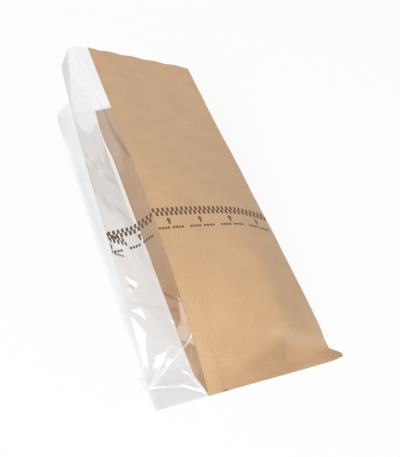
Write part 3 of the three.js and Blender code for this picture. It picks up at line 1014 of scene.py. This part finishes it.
# Colours mixed into the paper by stored fields: painted shade of the front and its marks, painted shade in
# the back's creases, a painted sheen, and painted light on the back.
KRAFT_TINTS = [
    ("paper_shade_and_marks", srgb(148, 120, 84), "MULTIPLY"),
    ("paper_crease_shade", srgb(220, 158, 86), "MULTIPLY"),
    ("paper_painted_sheen", srgb(255, 236, 216), "MIX"),
    ("paper_painted_light", srgb(240, 190, 140), "MIX"),
]
KRAFT_GLOSS = [("Specular IOR Level", 0.5), ("Roughness", 0.45),
               ("Sheen Weight", 0.22), ("Sheen Roughness", 0.4)]
RELIEF_STRENGTH = 0.18
RELIEF_HEIGHT = 0.06
# Clear film.
FILM_WHITE = grey(0.95)
FILM_GLOSS = [("Base Color", FILM_WHITE), ("Metallic", 1.0), ("Roughness", 0.08)]
# Tint of the painted reflection of the paper in the film.
REFLECTED_PAPER_TINT = (1.0, 0.988, 0.98, 1.0)
LEAST_UPRIGHT = 0.2
SLANT_POWER = -1.5
FACE_REFLECTION = 0.04
EDGE_REFLECTION = 0.95
EDGE_POWER = 5.0
# Printing ink.
INK_ROUGHNESS = 0.6
INK_NOISE = (1500.0, 2.0)
INK_STOPS = [(0.3, srgb(84, 60, 47)), (0.75, srgb(118, 90, 71))]
# Floor.
FLOOR_COLOUR = grey(0.9)
FLOOR_GLOW = 0.9


def kraft_grain(g):
    """Tone of the paper from its ribs, clouds, fibres and grain, and its relief from ribs and fibres."""
    uv = g.add("UVMap", uv_map="sheet").outputs["UV"]
    across = g.add("SeparateXYZ", [("Vector", uv)]).outputs["X"]
    wander = g.noise(g.mapped(uv, RIB_WANDER_SCALE), 1.0, RIB_WANDER_DETAIL)
    phase = g.math("ADD", g.math("MULTIPLY", across, 2 * math.pi / (RIB_PITCH * MM)),
                   g.math("MULTIPLY", wander, RIB_WANDER))
    rib = g.math("SINE", phase)
    cloud = g.math("MULTIPLY_ADD", g.noise(uv, *CLOUD_NOISE), CLOUD_TONE, BASE_TONE)
    tone = g.math("ADD", g.math("MULTIPLY", rib, RIB_TONE), cloud)
    fibre = g.noise(g.mapped(uv, FIBRE_SCALE), 1.0, FIBRE_DETAIL)
    grain = g.noise(uv, *GRAIN_NOISE)
    for speckle, weight in ((fibre, FIBRE_TONE), (grain, GRAIN_TONE)):
        tone = g.math("ADD", tone, g.math("MULTIPLY", g.math("SUBTRACT", speckle, 0.5), weight))
    return tone, g.math("ADD", rib, g.math("MULTIPLY", fibre, FIBRE_RELIEF))


def kraft_material():
    g = Graph(bpy.data.materials.new("kraft_paper"))
    tone, relief = kraft_grain(g)
    colour = g.ramp(tone, KRAFT_STOPS)
    for field, tint, blend in KRAFT_TINTS:
        colour = g.tinted(colour, tint, g.field(field), blend)
    bump = g.add("Bump", [
        ("Strength", RELIEF_STRENGTH), ("Distance", RELIEF_HEIGHT * MM), ("Height", relief)])
    shader = g.add("BsdfPrincipled", [
        *KRAFT_GLOSS, ("Base Color", colour), ("Normal", bump.outputs["Normal"])])
    return g.finish(shader.outputs["BSDF"])


def film_material():
    """Film that dims what is seen through it, more at a slant and by painted shade in places, and is glossy,
    with painted highlights on its creases.

    Lamps shine through it undimmed.
    """
    g = Graph(bpy.data.materials.new("clear_film"))
    facing = g.add("LayerWeight").outputs["Facing"]
    upright = g.math("MAXIMUM", g.math("SUBTRACT", 1.0, facing), LEAST_UPRIGHT)
    passed = g.math("POWER", g.field("film_clarity_and_painted_light"), g.math("POWER", upright, SLANT_POWER))
    tint = g.tinted(grey(1.0), REFLECTED_PAPER_TINT, g.field("film_painted_warmth"), "MIX")
    dimmed = g.add("VectorMath", [("Vector", tint), ("Scale", passed)], operation="SCALE")
    clear = g.add("BsdfTransparent", [("Color", dimmed.outputs["Vector"])])
    gloss = g.add("BsdfPrincipled", FILM_GLOSS)
    aslant = g.math("MULTIPLY", g.math("POWER", facing, EDGE_POWER), EDGE_REFLECTION)
    film = g.blended(g.math("ADD", aslant, FACE_REFLECTION), clear.outputs["BSDF"], gloss.outputs["BSDF"])
    # White mixed in where the film has painted highlights and haze.
    white = g.add("BsdfDiffuse", [("Color", FILM_WHITE)])
    film = g.blended(g.field("film_haze_and_painted_highlights"), film, white.outputs["BSDF"])
    lamp_ray = g.add("LightPath").outputs["Is Shadow Ray"]
    return g.finish(g.blended(lamp_ray, film, g.add("BsdfTransparent").outputs["BSDF"]))


def ink_material():
    g = Graph(bpy.data.materials.new("print_ink"))
    place = g.add("TexCoord").outputs["Object"]
    colour = g.ramp(g.noise(place, *INK_NOISE), INK_STOPS)
    shader = g.add("BsdfPrincipled", [("Roughness", INK_ROUGHNESS), ("Base Color", colour)])
    return g.finish(shader.outputs["BSDF"])


def floor_material():
    """White to the camera and in reflections, with a share of plain diffuse that keeps the shadow."""
    g = Graph(bpy.data.materials.new("floor"))
    lit = g.add("BsdfDiffuse", [("Color", FLOOR_COLOUR)])
    glow = g.add("Emission")
    share = g.math("MULTIPLY", g.seen(), FLOOR_GLOW)
    return g.finish(g.blended(share, lit.outputs["BSDF"], glow.outputs["Emission"]))


# Print: flat shapes laid on a sheet, in millimetres across and down from the top of the printed band
BAND_TOP = 119.0
BAND_DROP = 2.5
BAND_LEAN = 2.9
BAND_LEAN_FROM = 8.0
TOOTH_WIDTH = 1.75
TOOTH_HEIGHT = 3.4
TOOTH_CUT = 0.25
STITCH_WIDTH = 0.5
STITCH_REACH = 0.4
ARROW_PITCH = 21.8
ARROW_TOP = 8.2
ARROW_HEIGHT = 5.4
ARROW_HEAD = 0.45
ARROW_HALF = 1.7
SHAFT_HALF = 0.65
DASH_TOP = 15.4
DASH_HEIGHT = 1.9
DASH_LENGTH = 1.5
DASH_PITCH = 2.0
DASHES = 4
WORD_GAP = 1.0
INK_LIFT = 0.09
# The band on each sheet: first tooth, pitch of the teeth, first arrow, then where it begins and ends.
PAPER_BAND = (0.1, 3.3, 9.0)
PAPER_LIMITS = (0.05, PANEL_WIDTH + 14)
FILM_BAND = (0.6, 3.0, 12.8)
FILM_LIMITS = (0.3, STRIP_WIDTH + 16)


def paper_share(a, y):
    """How far up its sheet a place on the paper is, as a share of the length there."""
    return y / lerp(LEFT_LENGTH, RIGHT_LENGTH, min(1.0, a / PANEL_WIDTH))


def film_share(a, y):
    """The same on the film, where the band lies lower, most at the left fold."""
    return (y - BAND_DROP - BAND_LEAN * smooth(a, BAND_LEAN_FROM, STRIP_WIDTH)) / LEFT_LENGTH


def sheet_point(sheet, a, down):
    """Point and outward normal of a sheet, for a place in the band."""
    grid, across, rows, share_at = sheet
    s = share_at(a, BAND_TOP - down)
    j = int(np.clip(np.searchsorted(across, a) - 1, 0, len(across) - 2))
    i = int(np.clip(np.searchsorted(rows, s) - 1, 0, len(rows) - 2))
    tu = (a - across[j]) / (across[j + 1] - across[j])
    tv = (s - rows[i]) / (rows[i + 1] - rows[i])
    p00, p01 = grid[i, j], grid[i, j + 1]
    p10, p11 = grid[i + 1, j], grid[i + 1, j + 1]
    p = lerp(lerp(p00, p01, tu), lerp(p10, p11, tu), tv)
    normal = np.cross(lerp(p01 - p00, p11 - p10, tv), lerp(p10 - p00, p11 - p01, tu))
    return p, normal / np.linalg.norm(normal)


def block(a, top, width, height):
    """A bar with its corners cut, in three pieces."""
    c = TOOTH_CUT * min(width, height)
    left, right, low = a, a + width, top + height
    return [
        [(left + c, top), (right - c, top), (right, top + c), (left, top + c)],
        [(left, top + c), (right, top + c), (right, low - c), (left, low - c)],
        [(left, low - c), (right, low - c), (right - c, low), (left + c, low)],
    ]


def stroke(a0, b0, a1, b1):
    """A thin slanted line."""
    h = STITCH_WIDTH / 2
    return [[(a0, b0 - h), (a1, b1 - h), (a1, b1 + h), (a0, b0 + h)]]


def arrow(a, top):
    neck = top + ARROW_HEAD * ARROW_HEIGHT
    low = top + ARROW_HEIGHT
    return [
        [(a - ARROW_HALF, neck), (a, top), (a, neck)],
        [(a, neck), (a, top), (a + ARROW_HALF, neck)],
        [(a - SHAFT_HALF, neck), (a + SHAFT_HALF, neck), (a + SHAFT_HALF, low), (a - SHAFT_HALF, low)],
    ]


def dashes(a):
    """Two groups of plain dashes, left and right of a."""
    shapes = []
    group = (DASHES - 1) * DASH_PITCH + DASH_LENGTH
    for start in (a - WORD_GAP - group, a + WORD_GAP):
        for k in range(DASHES):
            shapes += block(start + k * DASH_PITCH, DASH_TOP, DASH_LENGTH, DASH_HEIGHT)
    return shapes


def band_shapes(band, last):
    """Two staggered rows of teeth joined by a thin zigzag, with arrows and dashes under them."""
    first_tooth, pitch, first_arrow = band
    shapes = []
    middle = TOOTH_WIDTH / 2
    high, low = TOOTH_HEIGHT - STITCH_REACH, TOOTH_HEIGHT + STITCH_REACH
    for k in range(int((last - first_tooth) / pitch)):
        a = first_tooth + k * pitch
        b = a + pitch / 2
        shapes += block(a, 0.0, TOOTH_WIDTH, TOOTH_HEIGHT)
        shapes += block(b, TOOTH_HEIGHT, TOOTH_WIDTH, TOOTH_HEIGHT)
        shapes += stroke(a + middle, high, b + middle, low)
        shapes += stroke(b + middle, low, a + pitch + middle, high)
    for k in range(int((last - first_arrow) / ARROW_PITCH) + 1):
        shapes += arrow(first_arrow + k * ARROW_PITCH, ARROW_TOP)
        shapes += dashes(first_arrow + k * ARROW_PITCH)
    return shapes


def print_object(name, sheet, band, limits, side, material):
    """The band as thin faces just off the sheet, on the side that its outward normal gives."""
    vertices, faces = [], []
    for shape in band_shapes(band, limits[1]):
        if any(not limits[0] <= a <= limits[1] for a, _ in shape):
            continue
        start = len(vertices)
        for a, down in shape:
            p, normal = sheet_point(sheet, a, down)
            vertices.append(tuple(to_row(p + normal * side * INK_LIFT)))
        faces.append(tuple(range(start, len(vertices))))
    return new_object(name, new_mesh(name, vertices, faces, material))


# Build

paper_rows = graded(PAPER_ROWS)
film_rows = graded(FILM_ROWS)
flap_along = np.concatenate([
    -np.linspace(FLAP_LENGTH, 0.0, FLAP_STEPS + 1) - FOLD_RUN,
    np.linspace(FOLD_MARGIN - FOLD_RUN, -FOLD_MARGIN, FOLD_STEPS + 1),
    [0.0],
])
ink = ink_material()

paper_across, paper = paper_grid(paper_rows)
front_columns = slice(0, PAPER_FRONT_STEPS + 1)
paper_start = curled_ear(flap_grid(paper[0, front_columns], EAR_DEPTH))
paper = curled_ear(paper)
paper_sheet = sheet_object(
    "paper_sheet",
    [(paper, paper_across, paper_rows * LEFT_LENGTH),
     (paper_start, paper_across[front_columns], flap_along)],
    PAPER_THICKNESS, kraft_material(), (paper_shade_and_marks, paper_crease_shade, paper_painted_sheen, paper_painted_light))
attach(paper_sheet, "root")
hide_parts("kraft_sheet")

film_across, film = film_grid(film_rows)
strip_columns = slice(FILM_LAP_STEPS, FILM_LAP_STEPS + FILM_STRIP_STEPS + 1)
film_start = flap_grid(film[0, strip_columns], 0.0)
film_sheet = sheet_object(
    "film_sheet",
    [(film, film_across, film_rows * LEFT_LENGTH),
     (film_start, film_across[strip_columns], flap_along)],
    FILM_THICKNESS, film_material(), (film_clarity_and_painted_light, film_haze_and_painted_highlights, film_painted_warmth))
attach(film_sheet, "root")
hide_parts("window_film")

paper_side = (paper, paper_across, paper_rows, paper_share)
print_on_paper = print_object("print_on_paper", paper_side, PAPER_BAND, PAPER_LIMITS, 1, ink)
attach(print_on_paper, "root")
film_side = (film, film_across, film_rows, film_share)
print_on_film = print_object("print_on_film", film_side, FILM_BAND, FILM_LIMITS, -1, ink)
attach(print_on_film, "root")


# Stage, light and camera. Floor, lamp and near limit are in metres, the first two in the row's frame.
FLOOR_HALF = 3.0
FLOOR_DROP = 0.0002
KEY_PLACE = (-0.75, -0.65, 0.95)
KEY_SIZE = 1.2
KEY_POWER = 15.2
WORLD_LIGHT = 0.53
FILM_FACES_SEEN = 32
# Camera, fitted to the photograph: focal length in pixels of a frame 457 high.
FRAME_HEIGHT = 457
FOCAL_PIXELS = 800.0
SENSOR = 36.0
NEAR_LIMIT = 0.01
CAMERA_AZIMUTH = -18.42
CAMERA_ELEVATION = 45.0
CAMERA_DISTANCE = 577.7
CAMERA_TARGET = (12.7, 135.5, 0.0)


def add_floor():
    h = FLOOR_HALF
    corners = [(-h, -h, 0), (h, -h, 0), (h, h, 0), (-h, h, 0)]
    floor = new_object("floor", new_mesh("floor", corners, [(0, 1, 2, 3)], floor_material()))
    floor.location.z = -FLOOR_DROP


def add_lamp():
    """One soft lamp, aimed at the row's origin."""
    light = bpy.data.lights.new("key", "AREA")
    light.shape = "SQUARE"
    light.size = KEY_SIZE
    light.energy = KEY_POWER
    lamp = new_object("key", light)
    lamp.location = KEY_PLACE
    lamp.rotation_euler = (-Vector(KEY_PLACE)).to_track_quat("-Z", "Y").to_euler()


def add_world():
    """Even light from all round, which looks white."""
    g = Graph(bpy.data.worlds.new("studio"))
    strength = g.add("Mix", [("A", WORLD_LIGHT), ("B", 1.0), ("Factor", g.seen())])
    background = g.add("Background", [("Color", grey(1.0)), ("Strength", strength.outputs["Result"])])
    bpy.context.scene.world = g.finish(background.outputs["Background"], "OutputWorld")


def add_camera():
    azimuth = math.radians(CAMERA_AZIMUTH)
    elevation = math.radians(CAMERA_ELEVATION)
    back = np.array([
        math.sin(azimuth) * math.cos(elevation),
        -math.cos(azimuth) * math.cos(elevation),
        math.sin(elevation),
    ])
    target = np.array(CAMERA_TARGET)
    data = bpy.data.cameras.new("camera")
    data.sensor_width = SENSOR
    data.lens = FOCAL_PIXELS * SENSOR / FRAME_HEIGHT
    data.clip_start = NEAR_LIMIT
    camera = new_object("camera", data)
    camera.location = to_row(target + back * CAMERA_DISTANCE)
    camera.rotation_euler = (-Vector(back)).to_track_quat("-Z", "Y").to_euler()
    bpy.context.scene.camera = camera


add_floor()
add_world()
add_lamp()
add_camera()
bpy.context.scene.view_settings.view_transform = "Standard"
bpy.context.scene.cycles.transparent_max_bounces = FILM_FACES_SEEN
